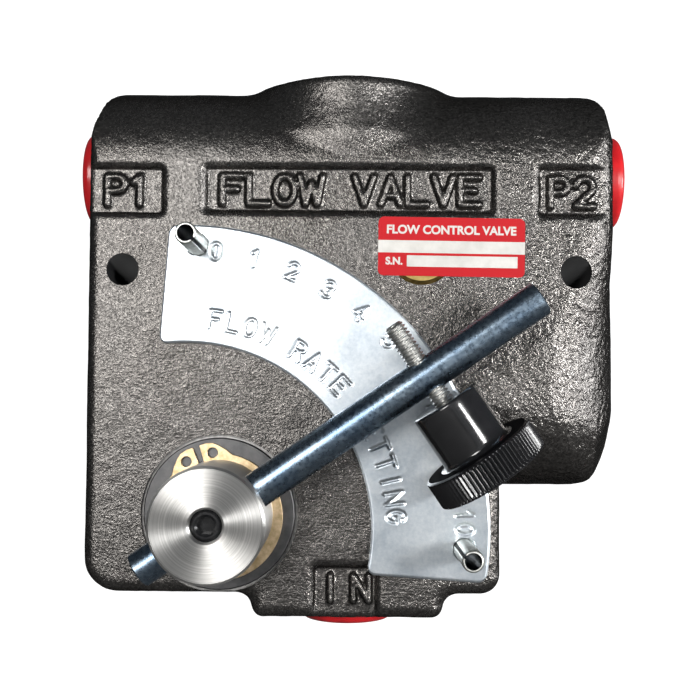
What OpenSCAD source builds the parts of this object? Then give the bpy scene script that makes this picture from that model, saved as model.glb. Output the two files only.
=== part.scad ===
// Pressure-compensated flow control valve with lever-set orifice.
// Millimetres. X right, Z up, Y into the page: mounting face y = 0, front face y = -body_depth.
// Origin: midway between the two mounting holes, on the mounting face.

/* [Body] */
// overall thickness of the casting
body_depth = 50.8; // [50:0.1:52]
// flat left side to centre line
body_half_w = 69.85; // [69:0.05:71]
// height of the side ports above the mounting holes
side_port_z = 28.4; // [27.5:0.1:29]
// height of the rounded port barrel above the port axis
barrel_r = 24.1; // [23.8:0.1:24.5]
// outermost point of the rounded right flank
flank_x = 72.3; // [71.8:0.1:72.8]
// bottom face of the inlet boss
inlet_face_z = -91.8; // [-93:0.1:-91]
// centre distance of the mounting holes
mount_pitch = 120.65; // [120:0.05:121]
// radius of the mounting holes
mount_hole_r = 4.365; // [4.2:0.005:4.5]

/* [Ports] */
// radius of the plain mouth
port_mouth_r = 10.67; // [10.4:0.01:10.8]
// depth of the plain mouth
port_mouth_depth = 9.6; // [9.5:0.1:10]
// radius of the threaded length
port_thread_r = 9.15; // [9:0.01:9.3]
// length of thread beyond the mouth
port_thread_len = 13; // [12:0.5:14]
// radius of the gallery beyond the thread
port_gallery_r = 8.4; // [8:0.1:8.6]

/* [Orifice shaft and hub] */
// shaft axis, across
hub_x = -33.9; // [-34.2:0.1:-33.6]
// shaft axis, height
hub_z = -64.5; // [-64.8:0.1:-64.2]
// radius of the hub
hub_r = 14.2875; // [14.25:0.0025:14.29]
// height of the hub above the front face
hub_height = 28.9; // [28.5:0.1:30]
// radius of the shaft bore in the casting
shaft_bore_r = 14.36; // [14.35:0.005:14.38]
// radius of the spotface around the hub
spotface_r = 20.7; // [20.5:0.1:21]
// depth of the spotface
spotface_depth = 1.3; // [1.2:0.1:1.5]
// outer radius of the thrust washer
washer_r = 20.0; // [19.8:0.1:20.2]

/* [Lever rod] */
// radius of the rod
rod_r = 4.5; // [4.45:0.01:4.52]
// height of the rod axis above the front face
rod_height = 19.5; // [19.3:0.1:20]
// slope of the rod above horizontal
rod_angle = 34.45; // [34:0.05:35]
// hub axis to the upper right end
rod_far = 98.8; // [98:0.1:100]
// hub axis to the lower left end
rod_near = 21.4; // [21:0.1:22]

/* [Thumb screw] */
// hub axis to the screw, along the rod
screw_station = 64.4; // [64:0.1:65]
// turn of the screw about the rod axis
screw_tilt = 3.5; // [3:0.1:4]
// radius of the stud
stud_r = 2.75; // [2.7:0.01:2.76]
// rod axis to the free tip of the stud
stud_tip = 15.1; // [14.8:0.1:15.3]
// radius of the knurled rim
knob_r = 15.0; // [14.8:0.05:15.1]
// radius of the knob neck
knob_neck_r = 8.95; // [8.8:0.05:9.1]
// rod axis to the start of the neck
knob_start = 7.6; // [7.4:0.1:7.8]
// rod axis to the start of the rim
knob_neck_end = 22.4; // [22:0.1:22.8]
// rod axis to the end of the knob
knob_end = 30.4; // [30:0.1:30.6]
// number of ribs round the rim
knurl_ribs = 72; // [60:4:80]

/* [Dial plate] */
// centre of the dial arcs, across
dial_x = -43.1; // [-43.3:0.1:-42.9]
// centre of the dial arcs, height
dial_z = -68.7; // [-68.9:0.1:-68.5]
// outer arc radius
dial_r_out = 80.5; // [80:0.1:81]
// inner arc radius
dial_r_in = 49.3; // [49:0.1:49.6]
// plate thickness
dial_t = 1.5; // [1.2:0.1:1.6]
// radius of the stop pins
pin_r = 2.78; // [2.7:0.01:2.79]
// height of the stop pins above the plate
pin_height = 22.2; // [21:0.1:22.5]

/* [Hidden] */
$fn = 96;

// planes
front_y = -body_depth;
mid_y = -body_depth / 2;
body_top_z = side_port_z + barrel_r;
base_z = -85.4;
boss_top_z = 53.1;
rod_front_y = front_y - rod_height - rod_r;

// places on the front face, [x, z]
hub = [hub_x, hub_z];
pin_high = [-40.3, 6.5];
pin_low = [30.6, -73.2];
expansion_plug_at = [19.2, 5.5];
label_at = [27.1, 6.5];

// vertical compensator bore, closed at the top by a plug
bore_x = -0.2;
bore_r = 11;
bore_seat_z = 16;
plug_seat_z = 45.6;
plug_seat_r = 12.4;
spool_z = bore_seat_z + 0.05;
top_plug_z = plug_seat_z + 0.02;

// colours shared by several pieces
rubber = [0.06, 0.06, 0.06];
brass = [0.74, 0.6, 0.26];
pin_grey = [0.62, 0.62, 0.62];
cap_red = [0.72, 0.07, 0.07];

// ---------- helpers ----------
function unit(v) = v / norm(v);
function xy(p) = [p[0], p[1]];
function polar(radius, angle) = radius * [cos(angle), sin(angle)];

// arc of n chords that replaces the vertex; points are [x, y, corner radius]
function corner(before, vertex, after, n) =
  let (
    radius = vertex[2],
    to_before = unit(xy(before) - xy(vertex)),
    to_after = unit(xy(after) - xy(vertex)),
    half = acos(to_before * to_after) / 2,
    setback = radius / tan(half),
    centre = xy(vertex) + unit(to_before + to_after) * (radius / sin(half)),
    first = xy(vertex) + to_before * setback - centre,
    last = xy(vertex) + to_after * setback - centre,
    start = atan2(first[1], first[0]),
    turn = atan2(last[1], last[0]) - start,
    sweep = turn > 180 ? turn - 360 : turn < -180 ? turn + 360 : turn
  )
  radius < 0.01 ? [xy(vertex)]
  : [for (i = [0 : n]) centre + polar(radius, start + sweep * i / n)];
function rounded(points, n = 8) =
  let (count = len(points))
  [for (i = [0 : count - 1])
    for (q = corner(points[(i + count - 1) % count], points[i], points[(i + 1) % count], n)) q];

// frame at [x, z] and depth y0, with +Z pointing out of the front face
module facing(at, y0) { translate([at[0], y0, at[1]]) rotate([90, 0, 0]) children(); }
// 2-D shape drawn in (X, Z), extruded by h from y0 towards the front
module plate(y0, h) { facing([0, 0], y0) linear_extrude(h) children(); }
// cylinder and cone running from y0 towards the front
module cyl_y(at, r, y0, h) { facing(at, y0) cylinder(r = r, h = h); }
module cone_y(at, r1, r2, y0, h) { facing(at, y0) cylinder(r1 = r1, r2 = r2, h = h); }
// cylinders along X and Z in the middle plane of the body
module cyl_x(z, r, x0, h) { translate([x0, mid_y, z]) rotate([0, 90, 0]) cylinder(r = r, h = h); }
module cyl_z(x, r, z0, h) { translate([x, mid_y, z0]) cylinder(r = r, h = h); }
// cylinder of length h followed by a cone of length tip_h
module tipped(r, h, tip_r, tip_h) {
  cylinder(r = r, h = h);
  translate([0, 0, h]) cylinder(r1 = r, r2 = tip_r, h = tip_h);
}
module o_ring(ring_r, cord_r) {
  rotate_extrude() translate([ring_r, 0]) circle(r = cord_r, $fn = 32);
}

// frame on the compensator axis
module on_bore(z) { translate([bore_x, mid_y, z]) children(); }
// port frames: origin on the mouth, +Z into the body
module at_inlet() { on_bore(inlet_face_z) children(); }
module at_controlled() {
  translate([-body_half_w, mid_y, side_port_z]) rotate([0, 90, 0]) children();
}
module at_excess() {
  translate([flank_x, mid_y, side_port_z]) rotate([0, -90, 0]) children();
}
// frame with +Z along the rod, origin on the hub axis
module on_rod() {
  translate([hub_x, front_y - rod_height, hub_z]) rotate([0, 90 - rod_angle, 0]) children();
}
// frame with +Z along the thumb screw towards its knob, origin on the rod axis
module on_screw() {
  on_rod() translate([0, 0, screw_station]) rotate([0, 0, screw_tilt]) rotate([0, 90, 0])
    children();
}

// ---------- casting ----------
boss_x = 0.3;
boss_r = 25.1;
boss_start_z = 30;
boss_chamfer = 1.8;
cavity_back_y = -7;
pin_depth = 9.5;
expansion_seat_depth = 2.6;
expansion_plug_r = 9.1;
panel_depth = 1.5;
sensing_r = 1.2;

// front view of the casting: x, z, corner radius
body_outline = [
  [-body_half_w, body_top_z, 7], [-body_half_w, base_z, 7], [-31, base_z, 4],
  [-24.8, inlet_face_z, 3], [24.8, inlet_face_z, 3], [30.5, base_z, 4], [40.3, base_z, 5],
  [40.3, -56.2, 1.5], [flank_x, -56, 10], [flank_x, body_top_z, 7]];
// plan view, wide rounding on the right: x, y, corner radius
body_plan = [
  [-body_half_w, 0, 3], [-body_half_w, front_y, 3], [flank_x, front_y, 12], [flank_x, 0, 8]];
// recessed marking panels, three across the top and one above the inlet: x, z, corner radius
marking_panels = [
  [[-80, 14.4, 0], [-49.2, 14.4, 1.2], [-49.2, 28.2, 1.2], [-80, 28.2, 0]],
  [[-39.2, 15.1, 1.2], [38.9, 15.1, 1.2], [38.9, 28.5, 1.2], [-39.2, 28.5, 1.2]],
  [[49.8, 14.6, 1.2], [80, 14.6, 0], [80, 28.7, 0], [49.8, 28.7, 1.2]],
  [[-9.6, -100, 0], [8.4, -100, 0], [8.4, -77.5, 1.2], [-9.6, -77.5, 1.2]]];

// side view: half-round barrel over the side ports
module barrel_profile() {
  polygon(concat(
    [[0, -120], [0, side_port_z]],
    [for (a = [6 : 6 : 174])
      [mid_y + (body_depth / 2) * cos(a), side_port_z + barrel_r * sin(a)]],
    [[front_y, side_port_z], [front_y, -120]]));
}
module body_blank() {
  intersection() {
    plate(0, body_depth) polygon(rounded(body_outline));
    translate([-100, 0, 0]) rotate([90, 0, 90]) linear_extrude(200) barrel_profile();
    translate([0, 0, -130]) linear_extrude(260) polygon(rounded(body_plan, 6));
  }
  translate([boss_x, mid_y, boss_start_z])
    tipped(boss_r, boss_top_z - boss_start_z - boss_chamfer, boss_r - boss_chamfer, boss_chamfer);
}
module port(depth) {
  translate([0, 0, -1]) cylinder(r = port_mouth_r, h = port_mouth_depth + 1);
  cylinder(r = port_thread_r, h = port_mouth_depth + port_thread_len);
  cylinder(r = port_gallery_r, h = depth);
}
module compensator_bore() {
  cyl_z(bore_x, 8.9, bore_seat_z - 8, 20);
  cyl_z(bore_x, bore_r, bore_seat_z, 60);
  // plug seat and entry chamfer
  cyl_z(bore_x, plug_seat_r, plug_seat_z, 20);
  on_bore(boss_top_z - 0.8) cylinder(r1 = plug_seat_r, r2 = 13.6, h = 1.2);
}
module metering_cavity() {
  cyl_y(hub, shaft_bore_r, cavity_back_y, body_depth);
  cone_y(hub, 6, 13.4, -4, 3.01);
  cyl_y(hub, spotface_r, front_y + spotface_depth, 5);
  // cored passages to the compensator and up to the left gallery
  cyl_x(hub_z, 7.6, hub_x, -hub_x - 1);
  cyl_z(hub_x, 6.8, hub_z, side_port_z - hub_z);
}
module valve_body() color([0.27, 0.26, 0.25]) difference() {
  body_blank();
  at_controlled() port(body_half_w - 18);
  at_excess() port(flank_x - 5);
  at_inlet() port(bore_seat_z - inlet_face_z - 2);
  compensator_bore();
  metering_cavity();
  // sensing line from the left gallery to the spring chamber
  cyl_x(41.5, sensing_r, -24, 20);
  cyl_z(-23.2, sensing_r, 30, 12.4);
  // mounting holes
  for (side = [-1, 1]) cyl_y([side * mount_pitch / 2, 0], mount_hole_r, 1, body_depth + 2);
  // stop pin holes
  for (at = [pin_high, pin_low]) cyl_y(at, pin_r + 0.02, front_y + 10, 12);
  // expansion plug seat over the core opening
  cyl_y(expansion_plug_at, expansion_plug_r + 0.02, front_y + expansion_seat_depth, 5);
  cyl_y(expansion_plug_at, 7.6, front_y + 9, 12);
  plate(front_y + panel_depth, 4)
    for (panel = marking_panels) polygon(rounded(panel, 4));
}

// ---------- metering shaft ----------
spool_back_y = -7.4;
hub_sink = 0.4;
hub_chamfer = 0.6;
set_hole_r = 4.0;
washer_chamfer = 0.3;
// passages from the hollow core: angle from straight up towards the right, radius
spool_passages = [[0, 6.6], [78, 6], [98, 3.4]];

module rotary_spool() color([0.72, 0.73, 0.74]) difference() {
  union() {
    cyl_y(hub, shaft_bore_r - 0.08, spool_back_y, spool_back_y - front_y);
    facing(hub, front_y + hub_sink)
      tipped(hub_r, hub_height + hub_sink - hub_chamfer, hub_r - hub_chamfer, hub_chamfer);
  }
  // seal groove
  difference() {
    cyl_y(hub, 20, -40.6, 4.4);
    cyl_y(hub, 11.7, -39, 8);
  }
  // retaining ring groove
  difference() {
    cyl_y(hub, 20, front_y - 0.08, 1.42);
    cyl_y(hub, 13.35, front_y + 1, 4);
  }
  // hollow flow core and its passages
  cyl_y(hub, 9.2, cavity_back_y, 29);
  for (passage = spool_passages)
    translate([hub_x, mid_y, hub_z]) rotate([0, passage[0], 0]) cylinder(r = passage[1], h = 20);
  // cross hole for the lever rod
  on_rod() translate([0, 0, -30]) cylinder(r = rod_r + 0.05, h = 60);
  // tapped hole for the set screw, with its entry chamfer
  cyl_y(hub, set_hole_r, front_y - rod_height, 20);
  cone_y(hub, set_hole_r, set_hole_r + 0.5, front_y - hub_height + 0.5, 0.51);
}
module shaft_o_ring() color(rubber) facing(hub, -42.05) o_ring(13.02, 1.3);
module shaft_backup_ring() color([0.9, 0.88, 0.8]) difference() {
  cyl_y(hub, 14.3, -43.5, 1.3);
  cyl_y(hub, 11.75, -42, 4);
}
module thrust_washer() color([0.3, 0.3, 0.31]) difference() {
  facing(hub, front_y + spotface_depth)
    tipped(washer_r, spotface_depth - washer_chamfer, washer_r - washer_chamfer, washer_chamfer);
  cyl_y(hub, hub_r + 0.08, 0, body_depth * 2);
}

// outer edge of one ear, mirrored across the gap: radius, angle from the gap
ear_edge = [[15.4, 37], [17.1, 25], [18.1, 18.5], [18.75, 14], [18.9, 8]];
module retaining_ring() color([0.78, 0.62, 0.28]) plate(front_y - 0.12, 1.3)
  translate(hub) rotate(109.2) difference() {
    union() {
      translate([-0.7, 0]) circle(r = 16.6);
      // ears either side of the gap, running out into the ring
      polygon(concat(
        [for (p = ear_edge) polar(p[0], -p[1])],
        [for (i = [len(ear_edge) - 1 : -1 : 0]) polar(ear_edge[i][0], ear_edge[i][1])]));
    }
    circle(r = 13.45);
    // gap
    polygon([[0, 0], polar(30, -2.8), polar(30, 2.8)]);
    // holes in the ears
    for (side = [-1, 1]) rotate(side * 13) translate([16.2, 0]) circle(r = 1.35, $fn = 24);
  }
module hub_set_screw() color([0.12, 0.12, 0.12]) difference() {
  facing(hub, rod_front_y - 0.06) tipped(3.94, 3.5, 3.2, 0.6);
  // hexagon socket and its countersink
  facing(hub, rod_front_y - 1.2) cylinder(r = 2.29, h = 9, $fn = 6);
  cone_y(hub, 2.05, 2.75, rod_front_y - 3.6, 0.6);
}

// ---------- lever and thumb screw ----------
rod_chamfer = 0.35;
stud_end = 24;
stud_chamfer_h = 0.6;
neck_chamfer = 0.5;
crown_h = 1;
knurl_depth = 0.45;

module lever_rod() color([0.66, 0.68, 0.71]) difference() {
  on_rod() translate([0, 0, -rod_near]) union() {
    cylinder(r1 = rod_r - rod_chamfer, r2 = rod_r, h = rod_chamfer);
    translate([0, 0, rod_chamfer])
      tipped(rod_r, rod_far + rod_near - 2 * rod_chamfer, rod_r - rod_chamfer, rod_chamfer);
  }
  on_screw() translate([0, 0, -12]) cylinder(r = stud_r + 0.05, h = 24, $fn = 48);
}
module thumb_stud() color([0.68, 0.69, 0.7]) on_screw() translate([0, 0, -stud_tip]) {
  cylinder(r1 = stud_r - 0.5, r2 = stud_r, h = stud_chamfer_h, $fn = 48);
  translate([0, 0, stud_chamfer_h])
    cylinder(r = stud_r, h = stud_tip + stud_end - stud_chamfer_h, $fn = 48);
}
module knurl_profile() {
  polygon([for (i = [0 : 2 * knurl_ribs - 1])
    polar(i % 2 == 0 ? knob_r : knob_r - knurl_depth, 180 * i / knurl_ribs)]);
}
module thumb_knob() color([0.05, 0.05, 0.05]) on_screw() difference() {
  union() {
    translate([0, 0, knob_start])
      cylinder(r1 = knob_neck_r - neck_chamfer, r2 = knob_neck_r, h = neck_chamfer);
    translate([0, 0, knob_start + neck_chamfer]) cylinder(r = knob_neck_r, h = 18);
    // straight-knurled rim and its crown
    translate([0, 0, knob_neck_end])
      linear_extrude(knob_end - knob_neck_end - crown_h) knurl_profile();
    translate([0, 0, knob_end - crown_h])
      cylinder(r1 = knob_r - 0.5, r2 = knob_r - 2.2, h = crown_h);
  }
  cylinder(r = stud_r + 0.06, h = stud_end + 0.2, $fn = 48);
}

// ---------- dial plate and stop pins ----------
dial_corner_r = 2.4;
function dial_point(radius, a) = [dial_x + radius * cos(a), dial_z + radius * sin(a), 0];
// quarter-ring sector, x, z, corner radius: lower end, outer arc, left end, inner arc
dial_outline = concat(
  [[4.5, -79.9, dial_corner_r], [34.6, -81.8, dial_corner_r]],
  [for (a = [-6 : 4 : 90]) dial_point(dial_r_out, a)],
  [[-47.9, 11.6, dial_corner_r], [-50.1, -20.1, dial_corner_r]],
  [for (a = [94 : -6 : -9]) dial_point(dial_r_in, a)]);

module dial_plate() color([0.78, 0.79, 0.82]) difference() {
  plate(front_y, dial_t) polygon(rounded(dial_outline));
  for (at = [pin_high, pin_low]) cyl_y(at, pin_r + 0.05, 0, 2 * body_depth);
}
// hollow pin, slit lengthwise
module stop_pin(at, slit_angle) {
  tip_h = 0.6;
  slit_w = 0.9;
  facing(at, front_y + pin_depth) rotate([0, 0, slit_angle]) difference() {
    tipped(pin_r, pin_height + dial_t + pin_depth - tip_h, pin_r - 0.35, tip_h, $fn = 48);
    translate([0, 0, -1]) cylinder(r = pin_r * 0.73, h = 60, $fn = 48);
    translate([0, -slit_w / 2, -1]) cube([6, slit_w, 60]);
  }
}
module stop_pin_high() color(pin_grey) stop_pin(pin_high, -40);
module stop_pin_low() color(pin_grey) stop_pin(pin_low, 150);

// ---------- label and expansion plug ----------
// x, z, corner radius about the label centre
label_outline = [[-19.5, -7.85, 1.5], [19.5, -7.85, 1.5], [19.5, 7.85, 1.5], [-19.5, 7.85, 1.5]];
module rating_label() color([0.8, 0.12, 0.14]) plate(front_y - 0.02, 0.16)
  translate(label_at) rotate(-0.6) polygon(rounded(label_outline, 6));
module expansion_plug() color(brass)
  facing(expansion_plug_at, front_y + expansion_seat_depth) difference() {
    tipped(expansion_plug_r, 1.6, 8.0, 0.9);
    translate([0, 0, -1]) cylinder(r = 7.5, h = 1.9);
  }

// ---------- compensator ----------
module compensator_spool() color([0.7, 0.7, 0.71]) on_bore(spool_z) difference() {
  cylinder(r = bore_r - 0.05, h = 23);
  translate([0, 0, 3.5]) cylinder(r = 8.9, h = 30);
  // shallow grooves round the outside
  for (z = [6 : 4 : 18]) translate([0, 0, z]) difference() {
    cylinder(r = 12, h = 0.8);
    translate([0, 0, -1]) cylinder(r = bore_r - 0.4, h = 3);
  }
  // hole for the damping orifice
  translate([0, 0, -1]) cylinder(r = 3, h = 8, $fn = 48);
}
module damping_orifice() color(brass) on_bore(spool_z) difference() {
  cylinder(r = 2.98, h = 3.4, $fn = 48);
  translate([0, 0, -1]) cylinder(r = 0.6, h = 8, $fn = 24);
  translate([0, 0, 1.6]) cylinder(r = 1.6, h = 8, $fn = 6);
}
// helical tube: rings of wire_sides points, joined ring to ring and closed at both ends
module compensator_spring() color([0.6, 0.6, 0.62]) {
  wire_r = 1;
  coil_r = 7.4;
  coils = 6;
  coil_steps = 24;
  wire_sides = 8;
  low_z = bore_seat_z + 3.6 + wire_r;
  rise = plug_seat_z - 0.1 - wire_r - low_z;
  steps = coils * coil_steps;
  points = [for (i = [0 : steps]) let (a = 360 * i / coil_steps, z = low_z + rise * i / steps)
    for (j = [0 : wire_sides - 1])
      let (b = 360 * j / wire_sides, radius = coil_r + wire_r * cos(b))
      [radius * cos(a) + bore_x, radius * sin(a) + mid_y, z + wire_r * sin(b)]];
  sides = [for (i = [0 : steps - 1]) for (j = [0 : wire_sides - 1])
    let (k = (j + 1) % wire_sides, ring = i * wire_sides, above = ring + wire_sides)
    [ring + j, above + j, above + k, ring + k]];
  start_face = [for (j = [0 : wire_sides - 1]) j];
  end_face = [for (j = [wire_sides - 1 : -1 : 0]) steps * wire_sides + j];
  polyhedron(points = points, faces = concat([start_face], sides, [end_face]), convexity = 8);
}

plug_groove_z = 1.2;
plug_groove_h = 2.7;
module top_plug() color([0.2, 0.2, 0.21]) on_bore(top_plug_z) difference() {
  tipped(plug_seat_r - 0.04, 6.3, 11.7, 0.6);
  // O-ring groove
  difference() {
    translate([0, 0, plug_groove_z]) cylinder(r = 14, h = plug_groove_h);
    cylinder(r = 10, h = 8);
  }
  // hexagon socket
  translate([0, 0, 4.1]) cylinder(r = 5.6, h = 9, $fn = 6);
}
module top_plug_o_ring() color(rubber)
  on_bore(top_plug_z + plug_groove_z + plug_groove_h / 2) o_ring(11.2, 1.16);

// ---------- shipping caps ----------
// plugs into the mouth along +Z, rounded head outside along -Z, hollow from outside
module cap(head) {
  head_r = 13.1;
  edge_r = 2.2;
  plug_end = 9.2;
  hollow_end = 7.6;
  rotate_extrude() polygon(concat(
    [[0, hollow_end], [0, plug_end], [port_mouth_r - 0.25, plug_end], [port_mouth_r - 0.06, 0],
      [head_r, -0.05], [head_r, -head + edge_r]],
    [for (a = [10 : 10 : 90]) [head_r - edge_r + edge_r * cos(a), -head + edge_r - edge_r * sin(a)]],
    [[9.6, -head], [9.2, -head + 0.5], [8.6, hollow_end]]));
}
module inlet_cap() color(cap_red) at_inlet() cap(3.9);
module controlled_cap() color(cap_red) at_controlled() cap(4.9);
module excess_cap() color(cap_red) at_excess() cap(4.3);

valve_body();
rotary_spool();
shaft_o_ring();
shaft_backup_ring();
thrust_washer();
retaining_ring();
lever_rod();
hub_set_screw();
thumb_stud();
thumb_knob();
dial_plate();
stop_pin_high();
stop_pin_low();
rating_label();
expansion_plug();
compensator_spool();
damping_orifice();
compensator_spring();
top_plug();
top_plug_o_ring();
inlet_cap();
controlled_cap();
excess_cap();
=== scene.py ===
# A cast-iron flow control valve with a lever rod, a thumb screw and a stamped dial plate.
# X runs right and Z up. The mounting face is the plane y = 0, and the front face, with the
# hub, the dial and the raised lettering, is at y = -50.8 mm and looks along -Y.
# Sizes are in mm unless noted; meshes are scaled to metres as they are made.
import math
import bpy
import numpy as np
from mathutils import Matrix, Vector


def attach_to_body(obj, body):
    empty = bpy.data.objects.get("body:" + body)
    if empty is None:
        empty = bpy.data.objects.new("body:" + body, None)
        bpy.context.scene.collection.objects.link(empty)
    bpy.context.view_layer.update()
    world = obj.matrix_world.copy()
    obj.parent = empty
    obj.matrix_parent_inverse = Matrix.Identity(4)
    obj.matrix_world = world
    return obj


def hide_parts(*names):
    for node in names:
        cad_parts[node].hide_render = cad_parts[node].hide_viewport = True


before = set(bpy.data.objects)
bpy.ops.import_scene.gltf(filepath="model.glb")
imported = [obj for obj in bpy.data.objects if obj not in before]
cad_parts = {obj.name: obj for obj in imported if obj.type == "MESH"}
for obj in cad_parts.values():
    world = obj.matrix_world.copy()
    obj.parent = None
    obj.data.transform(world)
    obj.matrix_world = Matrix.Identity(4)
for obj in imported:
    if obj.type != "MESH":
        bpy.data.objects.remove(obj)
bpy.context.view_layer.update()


# ------------------------------------------------------------------ shared sizes
MM = 0.001
BODY_DEPTH = 50.8
FRONT_Y = -BODY_DEPTH
MID_Y = -BODY_DEPTH / 2
LEFT_X, RIGHT_X = -69.85, 72.3
PORT_Z = 28.4                            # axis of the left and right ports
MOUNT_X = 60.325                         # mounting holes, either side of x = 0
# places on the front face, (x, z)
HUB = (-33.9, -64.5)
DIAL = (-43.1, -68.7)                    # centre of the dial's arcs
PINS = ((-40.3, 6.5), (30.6, -73.2))
PLUG = (19.2, 5.5)
LABEL = (27.1, 6.5)
ROD_ANGLE = math.radians(34.45)          # lever rod above +X

# ------------------------------------------------------------------ mesh helpers


def new_object(name, verts, faces, mats, smooth=True, sharp=None, index=None):
    """verts in mm (n, 3); faces: a list of (m, 4) and (m, 3) arrays; sharp in degrees"""
    mesh = bpy.data.meshes.new(name)
    verts = np.asarray(verts, float) * MM
    groups = [np.asarray(g, np.int32) for g in faces]
    loops = np.concatenate([g.ravel() for g in groups])
    totals = np.concatenate([np.full(len(g), g.shape[1], np.int32) for g in groups])
    starts = np.concatenate([[0], np.cumsum(totals)[:-1]]).astype(np.int32)
    mesh.vertices.add(len(verts))
    mesh.vertices.foreach_set("co", verts.astype(np.float32).ravel())
    mesh.loops.add(len(loops))
    mesh.loops.foreach_set("vertex_index", loops.astype(np.int32))
    mesh.polygons.add(len(totals))
    mesh.polygons.foreach_set("loop_start", starts)
    mesh.polygons.foreach_set("loop_total", totals)
    mesh.update(calc_edges=True)
    mesh.validate()
    mesh.polygons.foreach_set("use_smooth", [smooth] * len(mesh.polygons))
    if index is not None:
        mesh.polygons.foreach_set("material_index", np.asarray(index, np.int32))
    for mat in mats:
        mesh.materials.append(mat)
    if sharp:
        mesh.set_sharp_from_angle(angle=math.radians(sharp))
    return link_object(name, mesh)


def link_object(name, data):
    ob = bpy.data.objects.new(name, data)
    bpy.context.scene.collection.objects.link(ob)
    return ob


def evaluated_mesh(ob):
    depsgraph = bpy.context.evaluated_depsgraph_get()
    return bpy.data.meshes.new_from_object(ob.evaluated_get(depsgraph))


def attach(ob, part, node):
    """move ob with a part, in the place of a CAD node"""
    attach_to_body(ob, part)
    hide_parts(node)


def grid_faces(rows, cols, close_rows=False, base=0):
    """quads of a (rows, cols) vertex grid, index = base + i * cols + j"""
    i = np.arange(rows if close_rows else rows - 1)
    j = np.arange(cols - 1)
    i, j = np.meshgrid(i, j, indexing="ij")
    after = (i + 1) % rows
    quads = [i * cols + j, i * cols + j + 1, after * cols + j + 1, after * cols + j]
    return np.stack(quads, -1).reshape(-1, 4) + base


def lathe(profile, segments, radial=None):
    """revolve (radius, along) rows about +Z and close both ends on the axis;
    radial(angle, radius, along) may change the radius"""
    profile = np.array(profile, float)
    turns = np.arange(segments) * 2 * math.pi / segments
    radius = np.repeat(profile[None, :, 0], segments, 0)
    along = np.repeat(profile[None, :, 1], segments, 0)
    angle = np.repeat(turns[:, None], len(profile), 1)
    if radial is not None:
        radius = radial(angle, radius, along)
    verts = np.stack([radius * np.cos(angle), radius * np.sin(angle), along], -1).reshape(-1, 3)
    rows = len(profile)
    quads = grid_faces(segments, rows, close_rows=True)
    centre = len(verts)
    verts = np.vstack([verts, [[0, 0, profile[0, 1]], [0, 0, profile[-1, 1]]]])
    i = np.arange(segments)
    j = (i + 1) % segments
    start = np.stack([np.full(segments, centre), i * rows, j * rows], -1)
    end = np.stack([np.full(segments, centre + 1), j * rows + rows - 1, i * rows + rows - 1], -1)
    return verts, [quads[:, ::-1], np.vstack([start[:, ::-1], end[:, ::-1]])]


def frame_of(z, x=None):
    """rotation whose third column is z"""
    z = np.array(z, float) / np.linalg.norm(z)
    x = np.array(x if x is not None else ([1, 0, 0] if abs(z[0]) < 0.9 else [0, 1, 0]), float)
    x = x - z * (x @ z)
    x /= np.linalg.norm(x)
    y = np.cross(z, x)
    return np.stack([x, y, z], 1)


def place(verts, rotation, origin):
    return verts @ rotation.T + np.array(origin, float)


def orient(faces, verts):
    """flip a closed mesh so that its volume is positive"""
    volume = 0.0
    for g in faces:
        a, b, c = verts[g[:, 0]], verts[g[:, 1]], verts[g[:, 2]]
        volume += np.einsum("ij,ij->", a, np.cross(b, c))
        if g.shape[1] == 4:
            volume += np.einsum("ij,ij->", a, np.cross(c, verts[g[:, 3]]))
    return faces if volume > 0 else [g[:, ::-1] for g in faces]


# ------------------------------------------------------------------ shader helpers


def put(tree, value, socket):
    """link a node's output to the socket, or set a plain value; colours get an alpha of 1"""
    if isinstance(value, bpy.types.NodeSocket):
        tree.links.new(value, socket)
    elif socket.type == "RGBA":
        socket.default_value = (*value, 1)
    else:
        socket.default_value = value


def add_node(tree, kind, inputs=None, **properties):
    node = tree.nodes.new("ShaderNode" + kind)
    for name, value in properties.items():
        setattr(node, name, value)
    for key, value in (inputs or {}).items():
        put(tree, value, node.inputs[key])
    return node


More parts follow.
